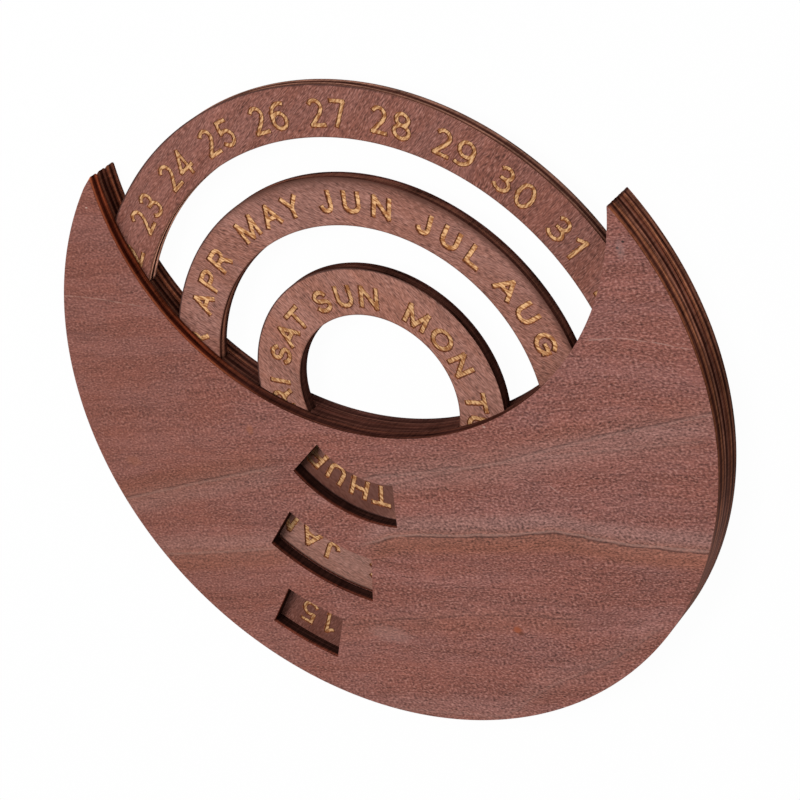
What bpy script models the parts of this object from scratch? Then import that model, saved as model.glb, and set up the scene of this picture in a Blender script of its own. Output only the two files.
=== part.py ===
"""A disc calendar of laser-cut plywood, lying on its back.

Three sheets are glued in a stack. The front and the back plate are crescents: discs with a round
bite out of one side. The middle sheet is cut into arcs, and the tracks that these leave free hold
three rings. Each ring is trapped between the plates and turns about the disc's centre. It sticks
out into the bite, where a finger turns it, and a window in the front plate shows one of its marks.

Lengths are in metres, and +Z is the way the face looks. The bite opens towards +Y.
"""

import math

import bmesh
import bpy
from mathutils import Vector

# The stack of sheets
sheet_thickness = 0.0028
glue_gap = 0.0003

# The rings and the arcs between them, from the centre outwards, as widths along a radius
ring_running_gap = 0.00035
weekday_ring_bore_radius = 0.0185
weekday_ring_width = 0.0102
inner_guide_width = 0.0085
month_ring_width = 0.0102
outer_guide_width = 0.0076
date_ring_width = 0.0109
outer_rim_width = 0.00735

# The bite: its floor lies this far below the rings' centre
bite_radius = 0.0589
bite_floor_drop = 0.0075

# The windows lie on one line from the centre, and the month's stands a little to the left of it.
# A lap is how much of its ring's edge a window leaves covered, and a gap is how far it opens beyond.
window_direction_deg = -115.0
weekday_window_lap = 0.0001
weekday_window_top_width = 0.0184
weekday_window_foot_width = 0.0256
month_window_bore_gap = 0.0001
month_window_rim_gap = 0.0004
month_window_top_width = 0.0206
month_window_foot_width = 0.0258
month_window_top_shift = 0.0010
month_window_foot_shift = 0.0006
date_window_bore_gap = 0.0003
date_window_rim_lap = 0.00055
date_window_top_width = 0.0139
date_window_foot_width = 0.0165

# Facets of a full circle, a multiple of four so that it reaches its radius on both axes
circle_facets = 144
sharp_edge_deg = 30.0
cap_weld_distance = 0.000002

# Sizes that follow from these
weekday_ring_radius = weekday_ring_bore_radius + weekday_ring_width
inner_guide_bore_radius = weekday_ring_radius + ring_running_gap
inner_guide_radius = inner_guide_bore_radius + inner_guide_width
month_ring_bore_radius = inner_guide_radius + ring_running_gap
month_ring_radius = month_ring_bore_radius + month_ring_width
outer_guide_bore_radius = month_ring_radius + ring_running_gap
outer_guide_radius = outer_guide_bore_radius + outer_guide_width
date_ring_bore_radius = outer_guide_radius + ring_running_gap
date_ring_radius = date_ring_bore_radius + date_ring_width
outer_rim_bore_radius = date_ring_radius + ring_running_gap
plate_radius = outer_rim_bore_radius + outer_rim_width
centre_spacer_radius = weekday_ring_bore_radius - ring_running_gap
bite_centre_rise = bite_radius - bite_floor_drop

back_sheet_z = 0.0
middle_sheet_z = back_sheet_z + sheet_thickness + glue_gap
front_sheet_z = middle_sheet_z + sheet_thickness + glue_gap

# The date ring reaches higher than the horns, so it and the plate's foot set the middle in Y
disc_centre_y = (plate_radius - date_ring_radius) / 2

face_veneer_colour = (0.250, 0.105, 0.085, 1.0)
back_veneer_colour = (0.233, 0.098, 0.079, 1.0)
ring_veneer_colour = (0.272, 0.122, 0.089, 1.0)
spacer_colour = (0.060, 0.025, 0.016, 1.0)
rim_colour = (0.085, 0.034, 0.024, 1.0)
veneer_roughness = 0.55
charred_roughness = 0.7


def polar(radius, angle):
    return Vector((radius * math.cos(angle), radius * math.sin(angle)))


def arc_angles(start, end):
    """Angles from start to end, with the circle's own facet corners in between."""
    step = math.tau / circle_facets
    low, high = min(start, end), max(start, end)
    first = math.floor(low / step) + 1
    last = math.ceil(high / step) - 1
    angles = [low] + [step * number for number in range(first, last + 1)] + [high]
    return angles if start < end else angles[::-1]


def arc(radius, start, end, centre=Vector((0.0, 0.0))):
    return [centre + polar(radius, angle) for angle in arc_angles(start, end)]


def circle(radius):
    step = math.tau / circle_facets
    return [polar(radius, step * number) for number in range(circle_facets)]


def bite_centre():
    return Vector((0.0, bite_centre_rise))


def bite_crossing(radius):
    """The angle at which a circle about the disc's centre meets the bite, on the right."""
    rise = (radius**2 + bite_centre_rise**2 - bite_radius**2) / (2 * bite_centre_rise)
    return math.asin(rise / radius)


def bite_angle(radius):
    """The same meeting point as an angle about the bite's own centre."""
    from_centre = polar(radius, bite_crossing(radius)) - bite_centre()
    return math.atan2(from_centre.y, from_centre.x)


def mirrored_angle(angle):
    """The angle of the same point on the other side of the Y axis, reached by way of -Y."""
    return -math.pi - angle


def crescent_outline(radius):
    """A disc less the bite: round by the foot from horn to horn, and back along the bite."""
    crossing = bite_crossing(radius)
    along_bite = bite_angle(radius)
    rim = arc(radius, crossing, mirrored_angle(crossing))
    bite = arc(bite_radius, mirrored_angle(along_bite), along_bite, bite_centre())
    return rim[:-1] + bite[:-1]


def band_outline(bore_radius, radius):
    """An arc of even width about the disc's centre, cut off at both ends by the bite."""
    outer = bite_crossing(radius)
    inner = bite_crossing(bore_radius)
    outer_bite = bite_angle(radius)
    inner_bite = bite_angle(bore_radius)
    rim = arc(radius, outer, mirrored_angle(outer))
    left_end = arc(bite_radius, mirrored_angle(outer_bite), mirrored_angle(inner_bite), bite_centre())
    bore = arc(bore_radius, mirrored_angle(inner), inner)
    right_end = arc(bite_radius, inner_bite, outer_bite, bite_centre())
    return rim[:-1] + left_end[:-1] + bore[:-1] + right_end[:-1]


def window_outline(bore_radius, radius, top_width, foot_width, top_shift=0.0, foot_shift=0.0):
    """A window with arcs at top and foot. Its straight sides stand closer together at the top.

    The two shifts move its top and its foot to the left.
    """
    direction = math.radians(window_direction_deg)
    top = math.asin(top_width / 2 / bore_radius)
    foot = math.asin(foot_width / 2 / radius)
    top_middle = direction - top_shift / bore_radius
    foot_middle = direction - foot_shift / radius
    far_side = arc(radius, foot_middle - foot, foot_middle + foot)
    near_side = arc(bore_radius, top_middle + top, top_middle - top)
    return far_side + near_side


def cut_sheet(name, outlines, bottom_z, material, centre):
    """One flat piece cut from a sheet. Any outline inside the first one is a hole."""
    outline = bpy.data.curves.new(name + "_outline", "CURVE")
    outline.dimensions = "2D"
    outline.fill_mode = "BOTH"
    outline.extrude = sheet_thickness / 2
    for points in outlines:
        spline = outline.splines.new("POLY")
        spline.points.add(len(points) - 1)
        for target, point in zip(spline.points, points):
            target.co = (point.x, point.y, 0.0, 1.0)
        spline.use_cyclic_u = True
    guide = bpy.data.objects.new(name + "_guide", outline)
    bpy.context.scene.collection.objects.link(guide)
    graph = bpy.context.evaluated_depsgraph_get()
    mesh = bpy.data.meshes.new_from_object(guide.evaluated_get(graph))
    bpy.data.objects.remove(guide)
    bpy.data.curves.remove(outline)
    close_caps(mesh)
    mesh.name = name
    mesh.shade_smooth()
    mesh.set_sharp_from_angle(angle=math.radians(sharp_edge_deg))
    mesh.materials.clear()
    mesh.materials.append(material)
    piece = bpy.data.objects.new(name, mesh)
    piece.parent = centre
    piece.location.z = bottom_z + sheet_thickness / 2
    return piece


def close_caps(mesh):
    """Joins the two flat faces, which come loose from a filled curve, to the cut edge."""
    joined = bmesh.new()
    joined.from_mesh(mesh)
    bmesh.ops.remove_doubles(joined, verts=joined.verts, dist=cap_weld_distance)
    bmesh.ops.recalc_face_normals(joined, faces=joined.faces)
    joined.to_mesh(mesh)
    joined.free()


def wood(name, colour, roughness):
    material = bpy.data.materials.new(name)
    material.use_nodes = True
    shader = material.node_tree.nodes["Principled BSDF"]
    shader.inputs["Base Color"].default_value = colour
    shader.inputs["Roughness"].default_value = roughness
    shader.inputs["Metallic"].default_value = 0.0
    material.diffuse_color = colour
    return material


def make_plates(centre):
    crescent = crescent_outline(plate_radius)
    windows = [
        window_outline(
            weekday_ring_bore_radius + weekday_window_lap,
            weekday_ring_radius - weekday_window_lap,
            weekday_window_top_width,
            weekday_window_foot_width,
        ),
        window_outline(
            month_ring_bore_radius - month_window_bore_gap,
            month_ring_radius + month_window_rim_gap,
            month_window_top_width,
            month_window_foot_width,
            month_window_top_shift,
            month_window_foot_shift,
        ),
        window_outline(
            date_ring_bore_radius - date_window_bore_gap,
            date_ring_radius - date_window_rim_lap,
            date_window_top_width,
            date_window_foot_width,
        ),
    ]
    face = wood("face_veneer", face_veneer_colour, veneer_roughness)
    back = wood("back_veneer", back_veneer_colour, veneer_roughness)
    return [
        cut_sheet("back_plate", [crescent], back_sheet_z, back, centre),
        cut_sheet("front_plate", [crescent] + windows, front_sheet_z, face, centre),
    ]


def make_middle_sheet(centre):
    """The arcs that stay fixed between the plates and leave the rings' tracks free."""
    pieces = [
        ("outer_rim", band_outline(outer_rim_bore_radius, plate_radius), rim_colour),
        ("outer_guide", band_outline(outer_guide_bore_radius, outer_guide_radius), spacer_colour),
        ("inner_guide", band_outline(inner_guide_bore_radius, inner_guide_radius), spacer_colour),
        ("centre_spacer", crescent_outline(centre_spacer_radius), spacer_colour),
    ]
    return [
        cut_sheet(name, [outline], middle_sheet_z, wood(name + "_edge", colour, charred_roughness), centre)
        for name, outline, colour in pieces
    ]


def make_rings(centre):
    """Each ring's origin lies on the axis that it turns about."""
    rings = [
        ("date_ring", date_ring_radius, date_ring_bore_radius),
        ("month_ring", month_ring_radius, month_ring_bore_radius),
        ("weekday_ring", weekday_ring_radius, weekday_ring_bore_radius),
    ]
    return [
        cut_sheet(
            name,
            [circle(radius), circle(bore_radius)],
            middle_sheet_z,
            wood(name + "_veneer", ring_veneer_colour, veneer_roughness),
            centre,
        )
        for name, radius, bore_radius in rings
    ]


def main():
    for leftover in list(bpy.data.objects):
        bpy.data.objects.remove(leftover)
    calendar = bpy.data.collections.new("disc_calendar")
    bpy.context.scene.collection.children.link(calendar)
    centre = bpy.data.objects.new("disc_centre", None)
    centre.location.y = disc_centre_y
    calendar.objects.link(centre)
    for piece in make_plates(centre) + make_middle_sheet(centre) + make_rings(centre):
        calendar.objects.link(piece)


main()
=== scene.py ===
# %% [markdown]
# # A disc calendar of laser-cut plywood
#
# The real thing is three sheets of thin plywood, glued in a stack. The outer two are crescents. The
# middle one is cut into arcs, and between these lie three rings that a finger can turn, marked with
# the days, the months and the weekdays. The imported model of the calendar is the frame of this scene:
# every piece made here takes the place of one of its nodes and rides on the same body.

# %% Load the frame
import math
import random

import bmesh
import bpy
from mathutils import Matrix, Vector, geometry


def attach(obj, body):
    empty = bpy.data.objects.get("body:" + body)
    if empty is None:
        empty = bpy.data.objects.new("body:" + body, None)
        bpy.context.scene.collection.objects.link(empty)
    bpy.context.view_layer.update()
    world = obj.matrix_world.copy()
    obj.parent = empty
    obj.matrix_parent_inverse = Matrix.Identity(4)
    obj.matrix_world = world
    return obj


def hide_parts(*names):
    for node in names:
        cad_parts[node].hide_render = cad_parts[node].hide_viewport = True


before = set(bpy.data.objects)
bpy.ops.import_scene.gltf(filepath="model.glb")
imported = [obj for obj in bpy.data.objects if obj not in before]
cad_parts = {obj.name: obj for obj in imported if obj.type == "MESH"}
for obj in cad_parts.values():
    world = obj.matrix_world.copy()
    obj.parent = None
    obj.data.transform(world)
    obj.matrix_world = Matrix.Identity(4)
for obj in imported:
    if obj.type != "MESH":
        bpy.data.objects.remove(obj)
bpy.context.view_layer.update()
mm = 0.001

# The disc in millimetres. Its centre lies a little above the middle of the box.
disc_rise = 3.85
disc_radius = 75.0
bite_radius = 58.9
bite_rise = 51.4
ring_radii = {"date": (67.3, 56.4), "month": (48.1, 37.9), "weekday": (28.7, 18.5)}
window_line_deg = -115.0
circle_steps = 288

# %% [markdown]
# ## The camera
#
# It stands where the photographer stood. The circles and their centres give its place, its roll and
# its focal length. A camera looks along its own -Z, so its matrix has three columns: the picture's
# right, the picture's up, and the way back towards the photographer.

# %% Place the camera
def into_scene(thing):
    bpy.context.scene.collection.objects.link(thing)
    return thing


camera_place = Vector((256.86, 221.76, 387.07)) * mm
looks_along = Vector((-0.49760, -0.43055, -0.75301)).normalized()
picture_up = Vector((-0.08731, 0.88857, -0.45036))
picture_right = looks_along.cross(picture_up).normalized()
picture_up = picture_right.cross(looks_along).normalized()

camera_data = bpy.data.cameras.new("photo_camera")
camera_data.sensor_width = 36.0
camera_data.lens = 113.17
camera_data.clip_start = 0.01
camera = into_scene(bpy.data.objects.new("photo_camera", camera_data))
turn = Matrix((picture_right, picture_up, -looks_along)).transposed()
camera.matrix_world = Matrix.Translation(camera_place) @ turn.to_4x4()
bpy.context.scene.camera = camera
bpy.context.scene.view_settings.view_transform = "Standard"
print("the camera is", round(camera_place.length, 3), "m from the calendar")

# %% [markdown]
# ## Nodes from Python
#
# Materials and Geometry Nodes are both trees of nodes. Writing one is easier when a link behaves like
# a number, so the class below wraps an output socket and overloads the arithmetic: `1 - mask` adds a
# Math node and returns its output. One function makes every other node, and it sets the node's own
# settings before its sockets, because some settings change which sockets there are.

# %% A socket that takes arithmetic
class Wire:
    def __init__(self, tree, socket):
        self.tree = tree
        self.socket = socket

    def math(self, operation, *others):
        inputs = dict(enumerate((self,) + others))
        return add_node(self.tree, "ShaderNodeMath", {"operation": operation}, inputs)

    def __add__(self, other):
        return self.math("ADD", other)

    def __sub__(self, other):
        return self.math("SUBTRACT", other)

    def __mul__(self, other):
        return self.math("MULTIPLY", other)

    def __truediv__(self, other):
        return self.math("DIVIDE", other)

    def __rsub__(self, other):
        return add_node(self.tree, "ShaderNodeMath", {"operation": "SUBTRACT"}, {0: other, 1: self})

    __radd__ = __add__
    __rmul__ = __mul__


# %% One function makes any node
def find_socket(sockets, key):
    return sockets[key] if isinstance(key, int) else next(s for s in sockets if key in (s.identifier, s.name))


def add_node(tree, kind, settings=None, inputs=None, output=0):
    node = tree.nodes.new(kind)
    for setting, value in (settings or {}).items():
        if setting == "stops":
            set_stops(node.color_ramp, value)
        else:
            setattr(node, setting, value)
    for key, value in (inputs or {}).items():
        socket = find_socket(node.inputs, key)
        if isinstance(value, Wire):
            tree.links.new(value.socket, socket)
        else:
            socket.default_value = value
    return Wire(tree, find_socket(node.outputs, output)) if len(node.outputs) else node


def set_stops(ramp, stops):
    while len(ramp.elements) < len(stops):
        ramp.elements.new(0.5)
    for element, (position, colour) in zip(ramp.elements, stops):
        element.position = position
        element.color = colour


# %% [markdown]
# ## What the finishes share
#
# Wood looks like wood because its pattern is long one way and short the other. All finishes start
# from Object coordinates, turned so that `along` runs with the grain and `across` crosses it, in
# millimetres. A noise that is read with a different stretch on each of them gives bands, streaks or
# single fibres.

# %% Helpers for the finishes
white = (1.0, 1.0, 1.0, 1.0)


def tint(colour, red, green, blue):
    """A colour with each part scaled."""
    return (colour[0] * red, colour[1] * green, colour[2] * blue, 1.0)


def new_finish(name):
    material = bpy.data.materials.new(name)
    material.use_nodes = True
    material.node_tree.nodes.clear()
    return material, material.node_tree


def place_in_mm(tree):
    """The place on the object as three wires, in millimetres."""
    place = add_node(tree, "ShaderNodeTexCoord", output="Object")
    sized = add_node(tree, "ShaderNodeVectorMath", {"operation": "SCALE"}, {0: place, "Scale": 1000.0})
    return [add_node(tree, "ShaderNodeSeparateXYZ", inputs={0: sized}, output=axis) for axis in "XYZ"]


def turned_axes(x, y, degrees):
    """The ways along and across a direction."""
    cos, sin = math.cos(math.radians(degrees)), math.sin(math.radians(degrees))
    return x * cos + y * sin, y * cos - x * sin


def noise(x, y, z, detail=2.0, roughness=0.5):
    """Noise about 0.5, with one feature to a unit of what it is given."""
    place = add_node(x.tree, "ShaderNodeCombineXYZ", inputs={0: x, 1: y, 2: z})
    inputs = {"Vector": place, "Scale": 1.0, "Detail": detail, "Roughness": roughness}
    return add_node(x.tree, "ShaderNodeTexNoise", inputs=inputs, output="Fac")


def fade(value, start, end):
    """0 up to start and 1 from end on, with a smooth step in between. Start may be above end."""
    settings = {"interpolation_type": "SMOOTHSTEP", "clamp": True}
    inputs = {"Value": value, "From Min": start, "From Max": end}
    return add_node(value.tree, "ShaderNodeMapRange", settings, inputs)


def span(value, start, end, soft):
    """1 between start and end, and 0 outside them."""
    return fade(value, start - soft, start) * fade(value, end + soft, end)


def mix(share, first, second, blend="MIX"):
    """Two colours, mixed by a share of the second one."""
    tree = next(given.tree for given in (share, first, second) if isinstance(given, Wire))
    settings = {"data_type": "RGBA", "blend_type": blend, "clamp_factor": True}
    inputs = {"Factor_Float": share, "A_Color": first, "B_Color": second}
    return add_node(tree, "ShaderNodeMix", settings, inputs, output="Result_Color")


def shade(colour, level):
    """A colour times a grey level that a wire carries."""
    grey = add_node(level.tree, "ShaderNodeCombineColor", inputs={0: level, 1: level, 2: level})
    return mix(1.0, colour, grey, blend="MULTIPLY")


def from_point(x, y, left, up, wide=1.0, high=1.0):
    """The distance from a point, in millimetres or in widths and heights of an oval."""
    off = add_node(x.tree, "ShaderNodeCombineXYZ", inputs={0: (x - left) / wide, 1: (y - up) / high})
    return add_node(x.tree, "ShaderNodeVectorMath", {"operation": "LENGTH"}, {0: off}, output="Value")


def from_centre(x, y):
    return from_point(x, y, 0.0, disc_rise)


def finish_surface(colour, roughness, height=None, height_mm=0.0, gloss=0.15):
    tree = colour.tree
    inputs = {"Base Color": colour, "Roughness": roughness, "Specular IOR Level": gloss}
    if height is not None:
        bump = {"Strength": 1.0, "Distance": height_mm * mm, "Height": height}
        inputs["Normal"] = add_node(tree, "ShaderNodeBump", inputs=bump)
    surface = add_node(tree, "ShaderNodeBsdfPrincipled", inputs=inputs)
    add_node(tree, "ShaderNodeOutputMaterial", inputs={"Surface": surface})


# %% [markdown]
# ## The stained veneer
#
# The face of each sheet is a rotary-cut veneer with a purplish brown stain. Close up it is a mass of
# short fibres, some nearly black and some pale where the stain didn't take. Further off, wide bands
# and thin growth lines wander along the grain. The fibres, streaks and bands are noises with
# different stretches that lighten and darken one stain. The few growth lines that the eye catches
# are drawn one by one: each is a path, and the distance from it makes a dark line with a pale band
# along one side and a rusty one along the other.

# %% Growth lines
square_half = 80.0


def in_square(length):
    """Millimetres as a share of a square that holds the whole disc."""
    return (length + square_half) / (2.0 * square_half)


def line_path(x, points):
    """The height of a given line at x, both in millimetres."""
    height = add_node(x.tree, "ShaderNodeFloatCurve", inputs={"Value": in_square(x)})
    mapping = height.socket.node.mapping
    curve = mapping.curves[0]
    for place in points[1:-1]:
        curve.points.new(*map(in_square, place))
    ends = (curve.points[0], curve.points[len(curve.points) - 1])
    for end, place in zip(ends, (points[0], points[-1])):
        end.location = [in_square(length) for length in place]
    mapping.update()
    return height * (2.0 * square_half) - square_half


# %% The veneer itself
pale_fibre = (0.44, 0.255, 0.215, 1.0)
orange_fibre = (0.35, 0.125, 0.072, 1.0)
dark_fibre = (0.095, 0.028, 0.021, 1.0)
rusty_band = (0.235, 0.080, 0.050, 1.0)
grey_band = (0.285, 0.150, 0.132, 1.0)
pale_line = (0.36, 0.225, 0.195, 1.0)
dark_line = (0.060, 0.024, 0.021, 1.0)
face_fibre_mm = (0.64, 0.35)
ring_fibre_mm = (1.15, 0.21)


def stained_veneer(name, colour, grain_deg, seed, lines=(), hairlines=(), marks=None, fibre_mm=face_fibre_mm):
    material, tree = new_finish(name)
    x, y, _ = place_in_mm(tree)
    along, across = turned_axes(x, y, grain_deg)

    def grain(length, width, shift, detail=2.0, roughness=0.5):
        """Noise in features of this length and width, in millimetres."""
        return noise(along / length, across / width, seed + shift, detail, roughness)

    drift = (grain(45.0, 22.0, 0.0, 1.0) - 0.5) * 7.0
    wander = (grain(6.0, 4.0, 3.0) - 0.5) * 1.3
    across = across + drift + wander

    bands = grain(70.0, 5.5, 7.0, 3.0, 0.6)
    streaks = grain(5.0, 0.65, 11.0, 3.0, 0.6)
    veins = grain(26.0, 0.75, 13.0, 1.0)
    fibres = grain(*fibre_mm, 17.0, 1.0, 0.45)
    flecks = grain(*fibre_mm, 23.0, 1.0)
    clouds = grain(20.0, 8.0, 29.0)

    hue = fade(bands * 0.5 + clouds * 0.5, 0.42, 0.58)
    tinted = mix(hue, tint(colour, 1.03, 0.97, 0.93), tint(colour, 0.98, 1.02, 1.06))
    lively = fade(x, -disc_radius, -10.0) * 0.3 + 0.7
    tone = (bands - 0.5) * 0.9 + ((streaks - 0.5) * 1.3 + (fibres - 0.5) * 2.5) * lively + 1.0
    wood = shade(tinted, tone.math("MAXIMUM", 0.25))
    wood = mix(fade(fibres, 0.46, 0.24) * lively * 0.20, wood, dark_fibre)
    wood = mix(fade(fibres, 0.53, 0.74) * lively * 0.42, wood, pale_fibre)
    wood = mix(fade(flecks, 0.56, 0.72) * 0.28, wood, orange_fibre)
    wood = mix(fade(veins, 0.60, 0.72) * 0.30, wood, dark_fibre)
    for points, dark, pale, rusty, side in lines:
        off = (y - line_path(x, points)) * side + wander * 0.8
        reach = span(x, points[0][0], points[-1][0], 9.0)
        broken = fade(grain(5.0, 1.1, 31.0), 0.28, 0.50)
        wood = mix(span(off, 0.3, 2.8, 3.2) * reach * (pale * 0.6), wood, shade(grey_band, tone))
        wood = mix(span(off, -2.8, -0.3, 2.6) * reach * (rusty * 0.7), wood, shade(rusty_band, tone))
        wood = mix(span(off, 0.2, 0.5, 0.3) * reach * (pale * 0.35), wood, pale_line)
        wood = mix(span(off, -0.16, 0.0, 0.22) * reach * broken * dark, wood, dark_line)
    for points, strength in hairlines:
        off = y - line_path(x, points) + wander * 0.35
        reach = span(x, points[0][0], points[-1][0], 0.6) * strength
        broken = fade(grain(2.5, 2.0, 37.0), 0.30, 0.55)
        wood = mix(span(off, -0.05, 0.05, 0.12) * reach * broken, wood, pale_fibre)
    if marks:
        wood = marks(x, y, wood)
    finish_surface(wood, 0.52 + fibres * 0.18, fibres * 0.7 + streaks * 0.3, 0.03)
    print("finish", name, "has", len(tree.nodes), "nodes")
    return material


# %% [markdown]
# ## The charred cut
#
# A laser burns its way through. It leaves the plies of a sheet in bands from rusty brown to nearly
# black, and here and there a thin ember line beside the glue. So the colour of a cut edge follows the
# height in the sheet. Each wall carries that height as an attribute of its points, from 0 at the
# sheet's foot to 1 at its top, and a colour ramp turns it into plies. Upright streaks come from a
# noise that is stretched upwards. Away from the left horn the bite's wall is painted darker, mostly an
# even dark brown, which is partly smoke and partly painted shade. Towards the horn each sheet takes a
# tint of its own, and the front sheet is painted more orange, its upper ply a bright rust: painted
# light. The windows are nearly black, with a reddened lip that is painted lighter at the date window:
# painted light. The rim is painted a little lighter, and darker level with the disc's centre: painted
# light and shade. Towards its lower end its colour goes from dark brown to a paler pinkish grey.

# %% The colours of burnt plies
# The two palest colours, which only the date ring's edge uses, are a pale ply with a painted highlight on it.
pale_ply_and_highlight = (0.950, 0.480, 0.330, 1.0)
pale_ply_and_faint_highlight = (0.600, 0.300, 0.220, 1.0)
ember = (0.480, 0.190, 0.100, 1.0)
bright_rust = (0.400, 0.130, 0.062, 1.0)
rust = (0.300, 0.098, 0.048, 1.0)
dim_rust = (0.200, 0.060, 0.033, 1.0)
pale_mauve = (0.360, 0.148, 0.090, 1.0)
mauve = (0.220, 0.086, 0.056, 1.0)
plum = (0.145, 0.051, 0.033, 1.0)
char = (0.075, 0.021, 0.014, 1.0)
soot = (0.033, 0.010, 0.007, 1.0)

# %% The cut edge
def window_walls(x, y):
    """1 at the windows, which lie along one line from the disc's centre."""
    outwards, beside = turned_axes(x, y - disc_rise, window_line_deg)
    return span(beside, -14.5, 14.5, 1.0) * span(outwards, 17.5, 68.5, 0.5)


def cut_edge(name, plies, seed, horn_light_and_shade=white, bite_floor_shade=white, level=1.0, lip=0.0):
    material, tree = new_finish(name)
    x, y, z = place_in_mm(tree)
    share = add_node(tree, "ShaderNodeAttribute", {"attribute_name": "height_share"}, output="Fac")
    ripple = noise(x / 5.0, y / 5.0, seed) - 0.5
    wood = add_node(tree, "ShaderNodeValToRGB", {"stops": plies}, {"Fac": share + ripple * 0.06})
    streaks = noise(x / 0.4, y / 0.4, z / 5.0, 2.0, 0.6) - 0.5
    threads = noise(x / 9.0, y / 9.0, z / 0.26 + seed, 1.0) - 0.5
    patches = noise(x / 7.0, y / 7.0, z / 1.2 + seed) - 0.5
    tone = (streaks * 1.3 + threads * 2.2 + patches * 1.6 + 1.0) * level
    wood = shade(wood, tone.math("MAXIMUM", 0.15))

    rim = fade(from_centre(x, y), disc_radius - 1.0, disc_radius - 0.4)
    # Painted light and shade along the rim: a little lighter on the whole, and darker in a band level with
    # the disc's centre.
    wood = shade(wood, 1.0 + rim * (0.12 - span(y, -6.0, 14.0, 14.0) * 0.44))
    # Lower down, the rim's colour goes from a dark brown to a paler pinkish grey towards its end.
    rim_tone = mix(fade(y, -2.0, -24.0), (0.12, 0.060, 0.050, 1.0), (0.27, 0.150, 0.132, 1.0))
    wood = mix(rim * fade(y, 12.0, -30.0) * 0.55, wood, rim_tone)

    from_bite = from_point(x, y, 0.0, disc_rise + bite_rise)
    bite = fade(from_bite, bite_radius + 0.6, bite_radius + 0.2)
    horn = fade(x, -24.0, -42.0)
    # Painted light and shade on the bite's wall: each sheet is tinted darker away from the left horn, and at
    # the horn by a tint of its own, more orange on the front sheet.
    bite_light_and_shade = mix(horn, bite_floor_shade, horn_light_and_shade)
    wood = mix(bite, wood, mix(1.0, wood, bite_light_and_shade, blend="MULTIPLY"))
    # Away from the horn the bite's wall is mostly an even dark brown: partly smoke, partly painted shade.
    wood = mix(bite * (1.0 - horn) * 0.75, wood, shade((0.064, 0.022, 0.016, 1.0), tone))
    # Painted light at the left horn of the front sheet: its upper ply is a bright rust, and the plies below
    # it a little darker.
    horn_lit_zone = bite * horn * lip
    wood = shade(wood, 1.0 - span(share, 0.12, 0.90, 0.05) * horn_lit_zone * 0.30)
    wood = mix(fade(share, 0.72, 0.88) * horn_lit_zone, wood, (0.66, 0.195, 0.090, 1.0))

    # The windows' reddened lip, painted nearly twice as light at the date window: painted light.
    reddened_and_lit_lip = shade((0.225, 0.060, 0.036, 1.0), fade(y, -42.0, -48.0) * 0.9 + 1.0)
    burnt = mix(fade(share, 0.62, 0.98), (0.036, 0.014, 0.011, 1.0), reddened_and_lit_lip)
    burnt = shade(burnt, streaks * 2.0 + threads * 2.0 + 1.0)
    wood = mix(window_walls(x, y) * 0.97, wood, burnt)
    finish_surface(wood, 0.72 + streaks * 0.2, streaks, 0.04, gloss=0.0)
    print("finish", name, "has", len(tree.nodes), "nodes")
    return material


# %% [markdown]
# ## The engraved marks
#
# The laser also writes the marks, by burning away the stained skin in narrow passes. The floor of a
# stroke is raw golden wood with the ridges of those passes. Its sides are scorched brown, and the
# skin beside it is darkened by smoke.

# %% The floor and the sides of a stroke
def raw_wood(name, grain_deg, level):
    """The golden wood under the skin. Its grain runs the same way as on the ring's face."""
    material, tree = new_finish(name)
    x, y, _ = place_in_mm(tree)
    along, across = turned_axes(x, y, grain_deg)
    ridges = noise(along / 1.6, across / 0.42, 4.0, 1.0)
    patches = noise(x, y, 9.0, 1.0)
    wood = mix(fade(ridges, 0.36, 0.64), (0.40, 0.155, 0.050, 1.0), (0.97, 0.575, 0.280, 1.0))
    wood = mix(fade(patches, 0.50, 0.74) * 0.6, wood, (0.32, 0.108, 0.034, 1.0))
    # Painted shade on the strokes beside the weekday window's left end.
    wall_shade = fade(from_point(x, y, -21.0, -10.0), 4.9, 3.3) * 0.80
    wood = mix(wall_shade, wood, (0.060, 0.022, 0.012, 1.0))
    # Each ring's strokes have their own level, and are painted darker below y = -24 mm, where the windows
    # are: painted shade.
    wood = shade(wood, level - fade(y, -24.0, -32.0) * 0.14)
    finish_surface(wood, 0.75, ridges, 0.10)
    return material


def scorched_wood(name, dark, light):
    """Wood browned by the heat, in small patches of two colours."""
    material, tree = new_finish(name)
    x, y, z = place_in_mm(tree)
    patches = noise(x / 0.4, y / 0.4, z / 0.4)
    finish_surface(mix(fade(patches, 0.4, 0.65), dark, light), 0.8)
    return material


ring_grain_deg = {"date": 45.0, "month": -27.0, "weekday": -50.0}
floor_level = {"date": 0.80, "month": 0.93, "weekday": 0.80}
engraving_side = scorched_wood("engraving_side", (0.150, 0.043, 0.018, 1.0), (0.340, 0.110, 0.040, 1.0))
engraving_smoke = scorched_wood("engraving_smoke", (0.080, 0.024, 0.012, 1.0), (0.140, 0.043, 0.020, 1.0))
engraving_floors = {
    ring: raw_wood(ring + "_engraving", grain_deg, floor_level[ring])
    for ring, grain_deg in ring_grain_deg.items()
}
print(engraving_side.name, "and", engraving_smoke.name, "with", len(engraving_floors), "floors")

# %% [markdown]
# ## The letters, as strokes
#
# Every mark is a few strokes of one width, so a glyph is written down as the middle lines of its
# strokes, in units of its height. The rounded parts are arcs. Beside the strokes stands the width
# from the first middle line to the last.

# %% Arcs and stems
bow_step_deg = 12


def bow(x, y, across, upright, start, end):
    """Points along part of an oval, from one angle to another in degrees."""
    steps = max(4, round(abs(end - start) / bow_step_deg))
    angles = [math.radians(start + (end - start) * step / steps) for step in range(steps + 1)]
    return [(x + across * math.cos(angle), y + upright * math.sin(angle)) for angle in angles]


def oval(x, y, across, upright):
    """A closed round as two bows, which overlap a little at its sides."""
    return [bow(x, y, across, upright, -4, 184), bow(x, y, across, upright, 176, 364)]


def stem(x):
    return [(x, 0.0), (x, 1.0)]


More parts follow.
